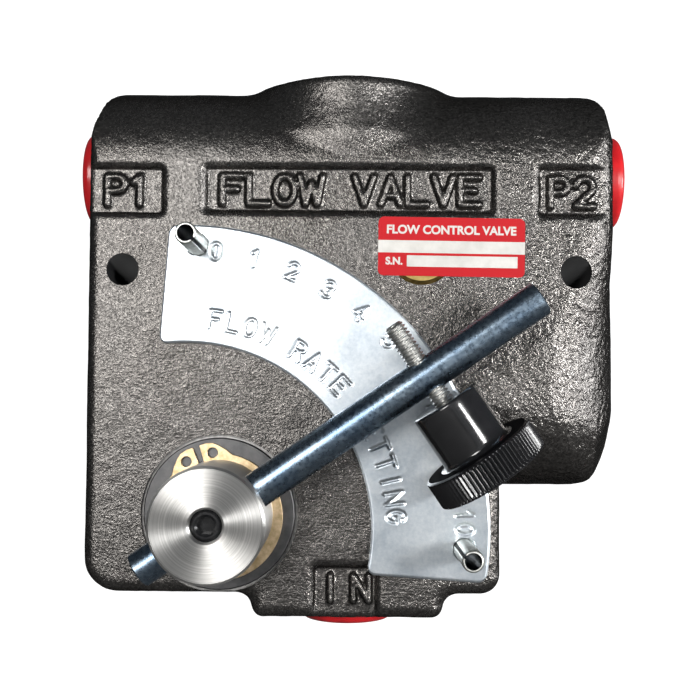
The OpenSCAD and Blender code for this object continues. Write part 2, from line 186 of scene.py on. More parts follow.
class Shader:
    """a material with a Principled node and short ways to add textures; scales are per metre"""

    def __init__(self, name, textured=True):
        self.material = bpy.data.materials.new(name)
        self.material.use_nodes = True
        self.tree = self.material.node_tree
        self.tree.nodes.clear()
        self.output = self.add("OutputMaterial")
        self.principled = self.add("BsdfPrincipled")
        self.surface(self.principled)
        if textured:
            self.coords = self.add("TexCoord").outputs["Object"]

    def add(self, kind, inputs=None, **properties):
        return add_node(self.tree, kind, inputs, **properties)

    def surface(self, node):
        put(self.tree, node.outputs[0], self.output.inputs[0])

    def set(self, **inputs):
        for name, value in inputs.items():
            put(self.tree, value, self.principled.inputs[name.replace("_", " ")])

    def noise(self, scale, detail=4, rough=0.55, distortion=0.0, coords=None):
        inputs = {"Scale": scale, "Detail": detail, "Roughness": rough,
                  "Distortion": distortion, "Vector": coords or self.coords}
        return self.add("TexNoise", inputs).outputs["Fac"]

    def ramp(self, value, stops):
        node = self.add("ValToRGB")
        elements = node.color_ramp.elements
        while len(elements) < len(stops):
            elements.new(0.5)
        for element, (position, color) in zip(elements, stops):
            element.position = position
            element.color = (*color, 1)
        put(self.tree, value, node.inputs[0])
        return node.outputs["Color"]

    def shades(self, value, low, high):
        """the two colours at 0.3 and 0.7 of a noise"""
        return self.ramp(value, [(0.3, low), (0.7, high)])

    def math(self, operation, first, second=None, clamp=False):
        inputs = {0: first} if second is None else {0: first, 1: second}
        return self.add("Math", inputs, operation=operation, use_clamp=clamp).outputs[0]

    def scaled(self, value, gain, base):
        return self.math("ADD", self.math("MULTIPLY", value, gain), base)

    def mix(self, factor, first, second, mode="MIX"):
        node = self.add("Mix", data_type="RGBA", blend_type=mode)
        for i, value in ((0, factor), (6, first), (7, second)):
            put(self.tree, value, node.inputs[i])
        return node.outputs[2]

    def map(self, scale=(1, 1, 1), turn=(0, 0, 0), shift=(0, 0, 0), coords=None):
        inputs = {"Scale": scale, "Rotation": turn, "Location": shift,
                  "Vector": coords or self.coords}
        return self.add("Mapping", inputs).outputs[0]

    def split(self, vector):
        return self.add("SeparateXYZ", {0: vector}).outputs

    def off_axis(self, x, z):
        """squared distance, m2, from the Y-wise axis at (x, z) mm, and the Y coordinate"""
        parts = self.split(self.map(shift=(-x / 1000, 0, -z / 1000)))
        x_squared = self.math("MULTIPLY", parts[0], parts[0])
        z_squared = self.math("MULTIPLY", parts[2], parts[2])
        return self.math("ADD", x_squared, z_squared), parts[1]

    def bump(self, height, strength, distance, under=None):
        """distance in metres; under is the normal this bump is laid on"""
        inputs = {"Strength": strength, "Distance": distance, "Height": height}
        if under is not None:
            inputs["Normal"] = under
        return self.add("Bump", inputs).outputs[0]


# ------------------------------------------------------------------ materials


def cast_iron():
    mat = Shader("cast_iron_oiled")
    mat.set(Metallic=0.92, Specular_Tint=(0.22, 0.22, 0.22))
    fine = mat.noise(scale=3000, detail=2, rough=0.6)
    grain = mat.noise(scale=1500, detail=2, rough=0.6)
    lumps = mat.noise(scale=560, detail=2, rough=0.5)
    broad = mat.noise(scale=34, detail=4, rough=0.6)
    speckle = mat.ramp(grain, [(0.30, (0.062, 0.059, 0.057)), (0.50, (0.118, 0.112, 0.107)),
                               (0.70, (0.19, 0.181, 0.173))])
    patches = mat.ramp(broad, [(0.32, (0.76, 0.75, 0.74)), (0.68, (1.0, 1.0, 1.0))])
    mat.set(Base_Color=mat.mix(1.0, speckle, patches, mode="MULTIPLY"))
    broad_part = mat.math("MULTIPLY", broad, 0.10)
    mat.set(Roughness=mat.math("ADD", broad_part, mat.scaled(fine, gain=0.08, base=0.17)))
    # the skin is coarser towards the right flank
    from_middle = mat.math("SUBTRACT", mat.split(mat.coords)[0], 0.0)
    rightness = mat.math("MULTIPLY", from_middle, 16.0, clamp=True)
    coarse = mat.scaled(rightness, gain=0.78, base=0.22)
    skin = mat.bump(mat.math("MULTIPLY", lumps, coarse), strength=1.0, distance=0.00052)
    skin = mat.bump(grain, strength=1.0, distance=0.00013, under=skin)
    mat.set(Normal=mat.bump(fine, strength=1.0, distance=0.00005, under=skin))
    return mat.material


def machined_iron():
    mat = Shader("machined_iron")
    mat.set(Metallic=0.65, Roughness=0.46, Base_Color=(0.30, 0.29, 0.28))
    grain = mat.noise(scale=700, detail=3)
    mat.set(Base_Color=mat.shades(grain, low=(0.20, 0.195, 0.19), high=(0.42, 0.41, 0.40)),
            Normal=mat.bump(grain, strength=0.15, distance=0.0001))
    return mat.material


def zinc_plate():
    mat = Shader("zinc_plate_stamped")
    mat.set(Metallic=1.0, Roughness=0.36)
    big = mat.noise(scale=60, detail=5, rough=0.6, distortion=0.4)
    small = mat.noise(scale=900, detail=3, rough=0.6)
    clouds = mat.shades(big, low=(0.45, 0.515, 0.58), high=(0.72, 0.755, 0.78))
    grain = mat.shades(small, low=(0.41, 0.475, 0.54), high=(0.79, 0.815, 0.835))
    mat.set(Base_Color=mat.mix(0.35, clouds, grain), Roughness=mat.scaled(big, 0.14, 0.26))
    waves = mat.bump(big, strength=0.10, distance=0.0006)
    mat.set(Normal=mat.bump(small, strength=0.12, distance=0.00012, under=waves))
    return mat.material


def turned_hub():
    mat = Shader("turned_steel_end")
    mat.set(Metallic=1.0, Roughness=0.33, Anisotropic=0.92, Anisotropic_Rotation=0.25)
    mat.set(Tangent=mat.add("Tangent", direction_type="RADIAL", axis="Y").outputs[0])
    # rings about the hub axis
    squared, along = mat.off_axis(*HUB)
    radius = mat.math("SQRT", squared)
    ring_coords = mat.add("CombineXYZ", {0: radius})
    put(mat.tree, mat.math("MULTIPLY", along, 1.0), ring_coords.inputs[1])
    rings = mat.noise(scale=4200, detail=2, rough=0.7, coords=ring_coords.outputs[0])
    mat.set(Base_Color=mat.shades(rings, low=(0.345, 0.34, 0.33), high=(0.575, 0.565, 0.55)),
            Roughness=mat.scaled(rings, gain=0.12, base=0.27),
            Normal=mat.bump(rings, strength=0.2, distance=0.00005))
    return mat.material


def rod_zinc():
    mat = Shader("rod_bright_zinc")
    mat.set(Metallic=1.0, Roughness=0.2)
    # streaks along the rod
    turned = mat.map(turn=(0, ROD_ANGLE, 0))
    stretched = mat.map(scale=(120, 1500, 1500), coords=turned)
    streaks = mat.noise(scale=1.0, detail=4, rough=0.6, coords=stretched)
    big = mat.noise(scale=110, detail=3, rough=0.6)
    pits = mat.noise(scale=900, detail=3, rough=0.6)
    grain = mat.shades(pits, low=(0.11, 0.155, 0.205), high=(0.27, 0.33, 0.39))
    clouds = mat.ramp(big, [(0.35, (0.060, 0.115, 0.195)), (0.65, (0.23, 0.285, 0.34))])
    mat.set(Base_Color=mat.mix(0.5, grain, clouds),
            Roughness=mat.scaled(pits, gain=0.30, base=0.14))
    streaked = mat.bump(streaks, strength=0.12, distance=0.00008)
    mat.set(Normal=mat.bump(pits, strength=0.5, distance=0.00006, under=streaked))
    return mat.material


def metal(name, low, high, rough, scale=500, bump=0.1, metallic=1.0):
    mat = Shader(name)
    mat.set(Metallic=metallic, Roughness=rough)
    grain = mat.noise(scale=scale, detail=4, rough=0.6)
    mat.set(Base_Color=mat.shades(grain, low, high),
            Roughness=mat.scaled(grain, gain=0.1, base=rough - 0.05),
            Normal=mat.bump(grain, strength=bump, distance=0.0001))
    return mat.material


def pin_steel():
    mat = Shader("pin_spring_steel")
    mat.set(Metallic=1.0, Roughness=0.42)
    grain = mat.noise(scale=700, detail=4, rough=0.6)
    steel = mat.shades(grain, low=(0.55, 0.56, 0.52), high=(0.80, 0.81, 0.77))
    # inside this radius, m, the rolled pins' hollow is painted near black: painted shade
    painted_shade_radius = 0.00212
    inside = None
    for x, z in PINS:
        hit = mat.math("LESS_THAN", mat.off_axis(x, z)[0], painted_shade_radius ** 2)
        inside = hit if inside is None else mat.math("MAXIMUM", inside, hit)
    # painted shade: the base colour goes near black over each pin's hollow
    mat.set(Base_Color=mat.mix(inside, steel, (0.012, 0.012, 0.013)),
            Roughness=mat.scaled(grain, gain=0.1, base=0.37),
            Normal=mat.bump(grain, strength=0.1, distance=0.0001))
    return mat.material


def plastic(name, color, rough, coat=0.0, scale=260, bump=0.05, specular=0.5, vary=0.15):
    mat = Shader(name)
    mat.set(Metallic=0.0, Roughness=rough, Specular_IOR_Level=specular,
            Coat_Weight=coat, Coat_Roughness=0.05)
    mottle = mat.noise(scale=scale, detail=4, rough=0.55)
    low = tuple(c * (1 - vary) for c in color)
    high = tuple(min(1, c * (1 + vary)) for c in color)
    mat.set(Base_Color=mat.shades(mottle, low, high),
            Roughness=mat.scaled(mottle, gain=0.1, base=rough - 0.05),
            Normal=mat.bump(mottle, strength=bump, distance=0.00015))
    return mat.material


LOOKS = {
    "cast": cast_iron(),
    "machined": machined_iron(),
    "zinc": zinc_plate(),
    "hub": turned_hub(),
    "rod": rod_zinc(),
    "gold": metal("ring_yellow_zinc", low=(0.46, 0.33, 0.17), high=(0.80, 0.62, 0.40),
                  rough=0.36, scale=600),
    "washer": metal("washer_dark", low=(0.075, 0.075, 0.078), high=(0.13, 0.128, 0.128),
                    rough=0.42, scale=300, bump=0.06),
    "pin": pin_steel(),
    "black_oxide": metal("screw_black_oxide", low=(0.006, 0.006, 0.007),
                         high=(0.020, 0.020, 0.021), rough=0.22, scale=700, metallic=0.3),
    # painted shade: the mounting holes' bores are coloured near black instead of machined grey
    "bore_painted_shade": metal("bore_shadow_iron", low=(0.004, 0.004, 0.005),
                       high=(0.008, 0.008, 0.009), rough=0.9, metallic=0.1),
    "stud": metal("stud_bright_zinc", low=(0.40, 0.40, 0.39), high=(0.62, 0.62, 0.60),
                  rough=0.42, scale=700),
    "steel": metal("ground_steel", low=(0.50, 0.50, 0.51), high=(0.72, 0.72, 0.73),
                   rough=0.22, scale=400),
    "spring": metal("spring_wire", low=(0.30, 0.30, 0.32), high=(0.5, 0.5, 0.52),
                    rough=0.3, scale=400),
    "brass": metal("plug_brass", low=(0.22, 0.16, 0.05), high=(0.42, 0.31, 0.12), rough=0.40),
    "plug": metal("plug_phosphated", low=(0.05, 0.05, 0.052), high=(0.11, 0.11, 0.112),
                  rough=0.42, metallic=0.7),
    "knob": plastic("knob_black_gloss", color=(0.010, 0.010, 0.011), rough=0.14, coat=0.5,
                    scale=240, bump=0.03),
    # painted shade: the head's underside, facing the rod, is a darker, nearly unreflective copy
    # of the knob black
    "knob_step_painted_shade": plastic("knob_underside_painted_shade", color=(0.004, 0.004, 0.005), rough=0.7,
                         scale=300, specular=0.02),
    "knurl": plastic("knob_black_knurl", color=(0.007, 0.007, 0.008), rough=0.24,
                     scale=500, bump=0.25, specular=0.30),
    "cap": plastic("cap_red", color=(0.56, 0.012, 0.016), rough=0.30, coat=0.2, scale=200),
    "rubber": plastic("seal_rubber", color=(0.012, 0.012, 0.012), rough=0.6, scale=400,
                      bump=0.1),
    "backup": plastic("backup_ring", color=(0.80, 0.78, 0.70), rough=0.45),
    "label_red": plastic("label_red_print", color=(0.42, 0.004, 0.009), rough=0.55,
                         scale=150, bump=0.03, specular=0.2, vary=0.05),
    "label_silver": metal("label_silver_foil", low=(0.43, 0.417, 0.395),
                          high=(0.54, 0.527, 0.505), rough=0.48, scale=220, bump=0.04,
                          metallic=0.55),
    "label_white": plastic("label_white_print", color=(0.54, 0.515, 0.49), rough=0.5,
                           scale=200, bump=0.02, vary=0.03),
}
NODE_LOOKS = {
    "valve_body": "cast", "rotary_spool": "hub", "shaft_o_ring": "rubber",
    "shaft_backup_ring": "backup", "thrust_washer": "washer", "retaining_ring": "gold",
    "lever_rod": "rod", "hub_set_screw": "black_oxide", "thumb_stud": "stud",
    "thumb_knob": "knob", "dial_plate": "zinc", "stop_pin_high": "pin", "stop_pin_low": "pin",
    "rating_label": "label_red", "expansion_plug": "brass", "compensator_spool": "steel",
    "damping_orifice": "brass", "compensator_spring": "spring", "top_plug": "plug",
    "top_plug_o_ring": "rubber", "inlet_cap": "cap", "controlled_cap": "cap",
    "excess_cap": "cap",
}
EDGE_WIDTHS = {"retaining_ring": 0.14, "stop_pin_high": 0.12, "stop_pin_low": 0.12,
               "thrust_washer": 0.12}


def dress_cad_parts():
    for name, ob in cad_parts.items():
        ob.data.materials.clear()
        ob.data.materials.append(LOOKS[NODE_LOOKS[name]])
    for name, width in EDGE_WIDTHS.items():
        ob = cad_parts[name]
        weld = ob.modifiers.new("weld", "WELD")
        weld.merge_threshold = 1e-6
        edge = ob.modifiers.new("edge", "BEVEL")
        edge.width = width * MM
        edge.segments = 2
        edge.limit_method = "ANGLE"
        edge.angle_limit = math.radians(35)
        edge.harden_normals = True


dress_cad_parts()

# ------------------------------------------------------------------ stroke lettering


def arc(cx, cy, rx, ry, start, end, steps=10):
    turns = np.radians(np.linspace(start, end, steps + 1))
    return [(cx + rx * math.cos(t), cy + ry * math.sin(t)) for t in turns]


# Each glyph is a list of polylines in a cell GLYPH_W wide and 1 high.
GLYPH_W = 0.62
HALF_W = GLYPH_W / 2
P_BOWL = [(0, 0), (0, 1)] + arc(.32, .74, GLYPH_W - .32, .26, 90, -90, 7) + [(0, .48)]
O_RING = arc(HALF_W, .5, HALF_W, .5, 0, 360, 20)
GLYPHS = {
    "0": [O_RING],
    "1": [[(.12, .78), (.34, 1), (.34, 0)]],
    "2": [arc(HALF_W, .70, HALF_W, .30, 170, -30, 10) + [(0, 0), (GLYPH_W, 0)]],
    "3": [arc(HALF_W, .74, HALF_W - .03, .26, 150, -90, 9)
          + arc(HALF_W, .25, HALF_W, .25, 90, -150, 9)],
    "4": [[(.46, 0), (.46, 1), (0, .30), (GLYPH_W, .30)]],
    "5": [[(GLYPH_W - .04, 1), (.06, 1), (.03, .56)]
          + arc(HALF_W, .31, HALF_W, .31, 120, -150, 10)],
    "6": [[(GLYPH_W - .10, .98)] + arc(HALF_W + .14, .42, .42, .56, 110, 180, 4)
          + arc(HALF_W, .30, HALF_W, .30, 180, -180, 14)],
    "7": [[(0, 1), (GLYPH_W, 1), (.20, 0)]],
    "8": [arc(HALF_W, .75, HALF_W - .04, .25, 0, 360, 14),
          arc(HALF_W, .25, HALF_W, .25, 0, 360, 14)],
    "9": [arc(HALF_W, .70, HALF_W, .30, 0, 360, 14),
          [(GLYPH_W, .70)] + arc(HALF_W - .14, .58, .43, .56, 0, -70, 5)],
    "A": [[(0, 0), (HALF_W, 1), (GLYPH_W, 0)], [(.12, .32), (GLYPH_W - .12, .32)]],
    "E": [[(GLYPH_W, 1), (0, 1), (0, 0), (GLYPH_W, 0)], [(0, .52), (GLYPH_W - .14, .52)]],
    "F": [[(GLYPH_W, 1), (0, 1), (0, 0)], [(0, .52), (GLYPH_W - .14, .52)]],
    "G": [arc(HALF_W, .5, HALF_W, .5, 50, 340, 14) + [(GLYPH_W, .46), (HALF_W + .04, .46)]],
    "I": [[(HALF_W, 0), (HALF_W, 1)]],
    "L": [[(0, 1), (0, 0), (GLYPH_W, 0)]],
    "N": [[(0, 0), (0, 1), (GLYPH_W, 0), (GLYPH_W, 1)]],
    "O": [O_RING],
    "P": [P_BOWL],
    "R": [P_BOWL, [(.30, .48), (GLYPH_W, 0)]],
    "S": [arc(HALF_W, .75, HALF_W - .01, .25, 35, 270, 9)
          + arc(HALF_W, .25, HALF_W, .25, 90, -145, 9)],
    "T": [[(0, 1), (GLYPH_W, 1)], [(HALF_W, 1), (HALF_W, 0)]],
    "V": [[(0, 1), (HALF_W, 0), (GLYPH_W, 1)]],
    "W": [[(-.06, 1), (.12, 0), (HALF_W, .75), (GLYPH_W - .12, 0), (GLYPH_W + .06, 1)]],
}


def strokes(char):
    """segments of a glyph, (n, 2, 2)"""
    segments = []
    for line in GLYPHS[char]:
        segments += [(line[i], line[i + 1]) for i in range(len(line) - 1)]
    return np.array(segments, float)


def segment_distance(px, py, segments):
    """distance from points to the nearest of the segments"""
    nearest = np.full(px.shape, 1e9)
    for (ax, ay), (bx, by) in segments:
        dx, dy = bx - ax, by - ay
        length2 = dx * dx + dy * dy + 1e-12
        t = np.clip(((px - ax) * dx + (py - ay) * dy) / length2, 0, 1)
        nearest = np.minimum(nearest, np.hypot(px - ax - t * dx, py - ay - t * dy))
    return nearest


def flat_text(text, x0, x1, base_z, height, widen):
    """segments in (x, z), letters evenly spaced from x0 to x1"""
    step = (x1 - x0 - GLYPH_W * height * widen) / max(len(text) - 1, 1)
    size = np.array([height * widen, height])
    return np.concatenate([strokes(char) * size + np.array([x0 + i * step, base_z])
                           for i, char in enumerate(text) if char != " "])


# ------------------------------------------------------------------ casting: signed distance
# segments, ridge radius, window that holds them (x0, x1, z0, z1)
CAST_TEXT = [
    (flat_text("FLOW VALVE", -34.2, 34.6, 18.0, 7.4, 1.12), 1.05, (-42, 42, 13, 31)),
    (flat_text("P1", -64.9, -54.2, 17.6, 7.4, 1.02), 1.05, (-72, -46, 12, 31)),
    (flat_text("P2", 53.6, 65.0, 17.8, 7.4, 1.02), 1.05, (46, 72, 12, 31)),
    (flat_text("IN", -6.6, 5.6, -87.2, 6.6, 1.0), 0.95, (-14, 14, -96, -72)),
]
# sunk marking panels: x0, x1, z0, z1
CAST_PANELS = (
    (-90, -49.2, 14.4, 28.2),
    (-39.2, 38.9, 15.1, 28.5),
    (49.8, 90, 14.6, 28.7),
    (-9.6, 8.4, -110, -77.5),
)
PANEL_DEPTH = 1.9
PANEL_CORNER = 1.8
DRAFT = 0.62                             # side slope of panels and ridges
BARREL_RISE = 24.2                       # barrel crown above the port axis
END_LEAN = 0.24                          # how far the barrel's ends lean in, per mm of rise
FACE_EDGE = 3.4                          # rounding along the front and back faces
LEFT_BLOCK = (LEFT_X, 40.3, -85.4)       # x0, x1, bottom
LOWER_BLOCK = (-25.2, 25.2, -91.8, 0.0)  # x0, x1, z0, z1
RIGHT_BOTTOM = -57.5
FOOT_TALL, FOOT_WIDE = 27.0, 11.0        # drawn-out corner under the right flank
BOSS_X, BOSS_R, BOSS_TOP = 0.3, 25.1, 53.1


def smooth_min(a, b, k):
    h = np.clip(0.5 + 0.5 * (b - a) / k, 0, 1)
    return b + (a - b) * h - k * h * (1 - h)


def smooth_max(a, b, k):
    return -smooth_min(-a, -b, k)


def rounded_rect(u, v, u0, u1, v0, v1, corner):
    du = np.abs(u - (u0 + u1) / 2) - (u1 - u0) / 2 + corner
    dv = np.abs(v - (v0 + v1) / 2) - (v1 - v0) / 2 + corner
    outside = np.hypot(np.maximum(du, 0), np.maximum(dv, 0))
    return np.minimum(np.maximum(du, dv), 0) + outside - corner


def rounded_and(a, b, radius):
    a, b = a + radius, b + radius
    outside = np.hypot(np.maximum(a, 0), np.maximum(b, 0))
    return np.minimum(np.maximum(a, b), 0) + outside - radius


def smooth01(t):
    t = np.clip(t, 0, 1)
    return t * t * (3 - 2 * t)


def casting(x, y, z):
    """distance to the cast skin, negative inside"""
    slab = np.abs(y - MID_Y) - BODY_DEPTH / 2
    top = PORT_Z + BARREL_RISE
    front = y < MID_Y
    # the barrel's ends lean in towards the top
    x = x + np.sign(x) * END_LEAN * np.maximum(z - PORT_Z - 8.0, 0) * (np.abs(x) > 40)
    left_corner = np.where(x > 0, 5.0, np.where(z < 0, 9.0, 6.0))
    left = rounded_rect(x, z, *LEFT_BLOCK, top, left_corner)
    # the right flank's lower end is drawn out: taller than it is wide
    foot_z = RIGHT_BOTTOM + FOOT_TALL
    squeezed = np.where(z < foot_z, foot_z - (foot_z - z) * FOOT_WIDE / FOOT_TALL, z)
    # below the barrel the right flank opens into nearly a half round
    flank = 8.5 + 13.5 * smooth01((13.0 - z) / 38.0)
    right_x = RIGHT_X - 0.5 + 0.23 * np.maximum(flank - 13.0, 0)
    right_corner = np.where(z < 0, FOOT_WIDE, 6.0)
    right = rounded_rect(x, squeezed, -20.0, right_x, foot_z - FOOT_WIDE, top, right_corner)
    lower = rounded_rect(x, z, *LOWER_BLOCK, 3.0)
    left = rounded_and(smooth_min(left, lower, 5.0), slab, FACE_EDGE)
    # the right block's underside is rolled the same way as its flank
    rolled = rounded_rect(z, y, -57.9, 120.0, FRONT_Y, 0, np.where(front, 24.0, 6.0))
    right = np.maximum(rounded_and(right, slab, FACE_EDGE), rolled)
    # a fillet only where the right block's underside meets the left block
    fillet = 0.02 + 3.2 * np.exp(-((x - 41.5) ** 2 + (z + 58.0) ** 2) / 70.0)
    d = smooth_min(left, right, fillet)
    ellipse = np.hypot((y - MID_Y) / (BODY_DEPTH / 2), (z - PORT_Z) / BARREL_RISE) - 1
    barrel = np.where(z > PORT_Z, ellipse * 24.7, slab)
    plan_corner = np.where(x < 0, 3.2, np.where(front, flank, 8.0))
    plan = rounded_rect(x, y, LEFT_X, right_x, FRONT_Y, 0, plan_corner)
    d = np.maximum(d, barrel)
    # where the rolled flank and the rolled underside meet, no crest is left
    crest = (smooth01((x - right_x + flank) / 15.0) * smooth01((-33.5 - z) / 15.0)
             * smooth01((-30.0 - y) / 9.0))
    d = smooth_max(d, plan, 0.01 + 8.5 * crest)
    # round boss over the compensator bore
    around = np.hypot(x - BOSS_X, y - MID_Y) - BOSS_R
    boss = rounded_and(around, z - BOSS_TOP, 2.2)
    boss = np.maximum(boss, 28.0 - z)
    d = smooth_min(d, boss, 0.02 + 6.5 * smooth01((z - 30.0) / 9.0))
    # the mounting face is planed flat
    d = np.maximum(d, y)
    # flash line left by the mould halves
    d = d - 0.25 * np.exp(-((y - MID_Y + 1.0) / 0.55) ** 2)
    floor = FRONT_Y + PANEL_DEPTH
    draft = DRAFT * (y - FRONT_Y)
    for panel in CAST_PANELS:
        walls = rounded_rect(x, z, *panel, PANEL_CORNER) + draft
        d = smooth_max(d, -np.maximum(walls, y - floor), 1.25)
    # raised letters
    near = y < FRONT_Y + 4.0
    for segments, radius, (x0, x1, z0, z1) in CAST_TEXT:
        m = near & (x > x0) & (x < x1) & (z > z0) & (z < z1)
        aside = segment_distance(x[m], z[m], segments)
        ridge = np.hypot(aside, (y[m] - floor - 0.1) * DRAFT) - radius
        d[m] = smooth_min(d[m], ridge, 0.6)
    return d


# ------------------------------------------------------------------ casting: skin mesh
# grid stations across the casting: from, to, step
X_RUNS = ((-72.2, 76.6, 0.74),)
Y_RUNS = ((-51.8, -48.2, 0.4), (-48.2, -28.6, 1.15), (-28.6, -24.4, 0.42), (-24.4, -1.6, 1.25))
Y_FIRST, Y_LAST = [-53.2, -52.4], [-1.2, -0.5, 0.3, 1.1]
Z_RUNS = ((-94.6, -75.5, 0.5), (-75.5, 12.5, 0.95), (12.5, 30.5, 0.45), (30.5, 57.5, 0.9))
# as-cast unevenness: height, lump size, seed
UNEVEN = ((0.055, 1.6, 3), (0.06, 4.2, 5), (0.10, 13.0, 8))


def stations(runs):
    return [s for a, b, step in runs for s in np.arange(a, b - step * 0.4, step)]


def uncheck(field):
    """break up chequered grid faces, so that the skin stays two-manifold"""
    for _ in range(12):
        inside = field < 0
        found = False
        for axis in range(3):
            u, v = [c for c in range(3) if c != axis]

            def corner(du, dv):
                cut = [slice(None)] * 3
                cut[u] = slice(1, None) if du else slice(0, -1)
                cut[v] = slice(1, None) if dv else slice(0, -1)
                return inside[tuple(cut)]

            bad = ((corner(0, 0) == corner(1, 1)) & (corner(0, 1) == corner(1, 0))
                   & (corner(0, 0) != corner(0, 1)))
            for spot in np.argwhere(bad):
                if inside[tuple(spot)]:
                    spot[u] += 1
                field[tuple(spot)] = -0.01
                found = True
        if not found:
            break


def surface_nets(xs, ys, zs, distance):
    """one vertex in each grid cell the surface crosses, one quad for each crossed grid edge"""
    field = distance(*np.meshgrid(xs, ys, zs, indexing="ij"))
    uncheck(field)
    inside = field < 0
    nx, ny, nz = field.shape
    corners = [(i, j, k) for i in (0, 1) for j in (0, 1) for k in (0, 1)]
    count = np.zeros((nx - 1, ny - 1, nz - 1), np.int8)
    for i, j, k in corners:
        count += inside[i:nx - 1 + i, j:ny - 1 + j, k:nz - 1 + k]
    active = (count > 0) & (count < 8)
    cell_index = np.full(active.shape, -1, np.int64)
    cell_index[active] = np.arange(int(active.sum()))
    cells = np.nonzero(active)
    points = np.zeros((len(cells[0]), 3))
    crossings = np.zeros(len(cells[0]))
    for near in corners:
        for axis in range(3):
            if near[axis]:
                continue
            far = list(near)
            far[axis] = 1
            at_near = tuple(c + o for c, o in zip(cells, near))
            at_far = tuple(c + o for c, o in zip(cells, far))
            d_near, d_far = field[at_near], field[at_far]
            crossed = (d_near < 0) != (d_far < 0)
            t = np.where(crossed, d_near / np.where(crossed, d_near - d_far, 1), 0)
            for c, grid in enumerate((xs, ys, zs)):
                a, b = grid[at_near[c]], grid[at_far[c]]
                points[:, c] += np.where(crossed, a + t * (b - a), 0)
            crossings += crossed
    points /= crossings[:, None]
    quads = []
    for axis in range(3):
        u, v = [c for c in range(3) if c != axis]
        lower = [slice(1, -1)] * 3
        upper = list(lower)
        lower[axis] = slice(0, -1)
        upper[axis] = slice(1, None)
        lower, upper = inside[tuple(lower)], inside[tuple(upper)]
        for leaving in (True, False):
            edges = np.argwhere((lower == leaving) & (upper != leaving))
            if not len(edges):
                continue
            edges[:, [u, v]] += 1
            ring = []
            for du, dv in ((-1, -1), (0, -1), (0, 0), (-1, 0)):
                cell = edges.copy()
                cell[:, u] += du
                cell[:, v] += dv
                ring.append(cell_index[tuple(cell.T)])
            quad = np.stack(ring, -1)
            quads.append(quad if leaving == (axis != 1) else quad[:, ::-1])
    return points, np.concatenate(quads)


def gradient(distance, points, step=0.04):
    slope = np.zeros_like(points)
    for c in range(3):
        above, below = points.copy(), points.copy()
        above[:, c] += step
        below[:, c] -= step
        slope[:, c] = (distance(*above.T) - distance(*below.T)) / (2 * step)
    return slope


def value_noise(points, scale, seed):
    """smooth lattice noise in -1..1"""
    table = np.random.default_rng(seed).uniform(-1, 1, 4096)
    q = points / scale
    i = np.floor(q).astype(np.int64)
    f = q - i
    f = f * f * (3 - 2 * f)
    total = 0
    for a in (0, 1):
        for b in (0, 1):
            for c in (0, 1):
                key = (((i[:, 0] + a) * 73856093) ^ ((i[:, 1] + b) * 19349663)
                       ^ ((i[:, 2] + c) * 83492791))
                weight = ((f[:, 0] if a else 1 - f[:, 0]) * (f[:, 1] if b else 1 - f[:, 1])
                          * (f[:, 2] if c else 1 - f[:, 2]))
                total = total + table[key & 4095] * weight
    return total


def casting_skin():
    xs = np.array(stations(X_RUNS))
    zs = np.array(stations(Z_RUNS))
    ys = np.array(Y_FIRST + stations(Y_RUNS) + Y_LAST)
    points, quads = surface_nets(xs, ys, zs, casting)
    # pull the vertices onto the true surface, at most 0.5 mm a time
    for _ in range(3):
        d = casting(*points.T)
        slope = gradient(casting, points)
        step = (d / np.maximum((slope * slope).sum(1), 0.2))[:, None] * slope
        length = np.linalg.norm(step, axis=1)
        points = points - step * np.minimum(1, 0.5 / np.maximum(length, 1e-9))[:, None]
    normals = gradient(casting, points, 0.15)
    normals /= np.maximum(np.linalg.norm(normals, axis=1), 1e-9)[:, None]
    # uneven everywhere but on the machined mounting face
    amount = smooth01((-points[:, 1] - 0.3) / 1.5)
    lumps = sum(height * value_noise(points, size, seed) for height, size, seed in UNEVEN)
    return points + normals * (lumps * amount)[:, None], quads


# ------------------------------------------------------------------ casting: bores
MOUTH_R, WIDE_R, STEP_R, CORE_R = 11.6, 10.67, 9.15, 8.4  # port bores, from the outside in
HUB_RECESS_R = 20.7
PLUG_RECESS_R = 9.12
MOUNT_R = 4.3
VERTICAL_X = -0.2
# Profiles are (radius, distance along the bore's axis).
HUB_BORE = [(HUB_RECESS_R, -60), (HUB_RECESS_R, FRONT_Y + 1.3), (14.36, FRONT_Y + 1.3),
            (14.36, -7), (6, -4)]
PLUG_BORE = [(PLUG_RECESS_R, -60), (PLUG_RECESS_R, FRONT_Y + 2.6), (7.6, FRONT_Y + 2.6),
             (7.6, FRONT_Y + 9)]
VERTICAL_BORE = [
    (MOUTH_R, -100), (MOUTH_R, -92), (WIDE_R, -91.2), (WIDE_R, -82.2), (STEP_R, -82.0),
    (STEP_R, -69.2), (CORE_R, -69.0), (CORE_R, 8), (8.9, 8.2), (8.9, 16), (11.0, 16),
    (11.0, 45.6), (12.4, 45.6), (12.4, 52.3), (13.6, 53.6), (13.6, 62)]
LEFT_BORE = [(MOUTH_R, -80), (MOUTH_R, -70), (WIDE_R, -69.2), (WIDE_R, -60.25),
             (STEP_R, -60.1), (STEP_R, -47.25), (CORE_R, -47.1), (CORE_R, -18)]
RIGHT_BORE = [(CORE_R, 5), (CORE_R, 49.6), (STEP_R, 49.7), (STEP_R, 62.6), (WIDE_R, 62.7),
              (WIDE_R, 71.7), (MOUTH_R, 72.5), (MOUTH_R, 82)]
MOUNT_BORE = [(MOUNT_R, -60), (MOUNT_R, -0.35), (4.75, 0.05), (4.75, 5)]
PIN_BORE = [(2.8, -60), (2.8, FRONT_Y + 10)]
CAST, MACHINED, BORE_PAINTED_SHADE = 0, 1, 2      # material slots of the casting


def cutter(name, profile, axis, origin, segments=160):
    verts, faces = lathe(profile, segments)
    verts = place(verts, frame_of(axis), origin)
    return new_object(name, verts, orient(faces, verts), [LOOKS["machined"]], smooth=False)


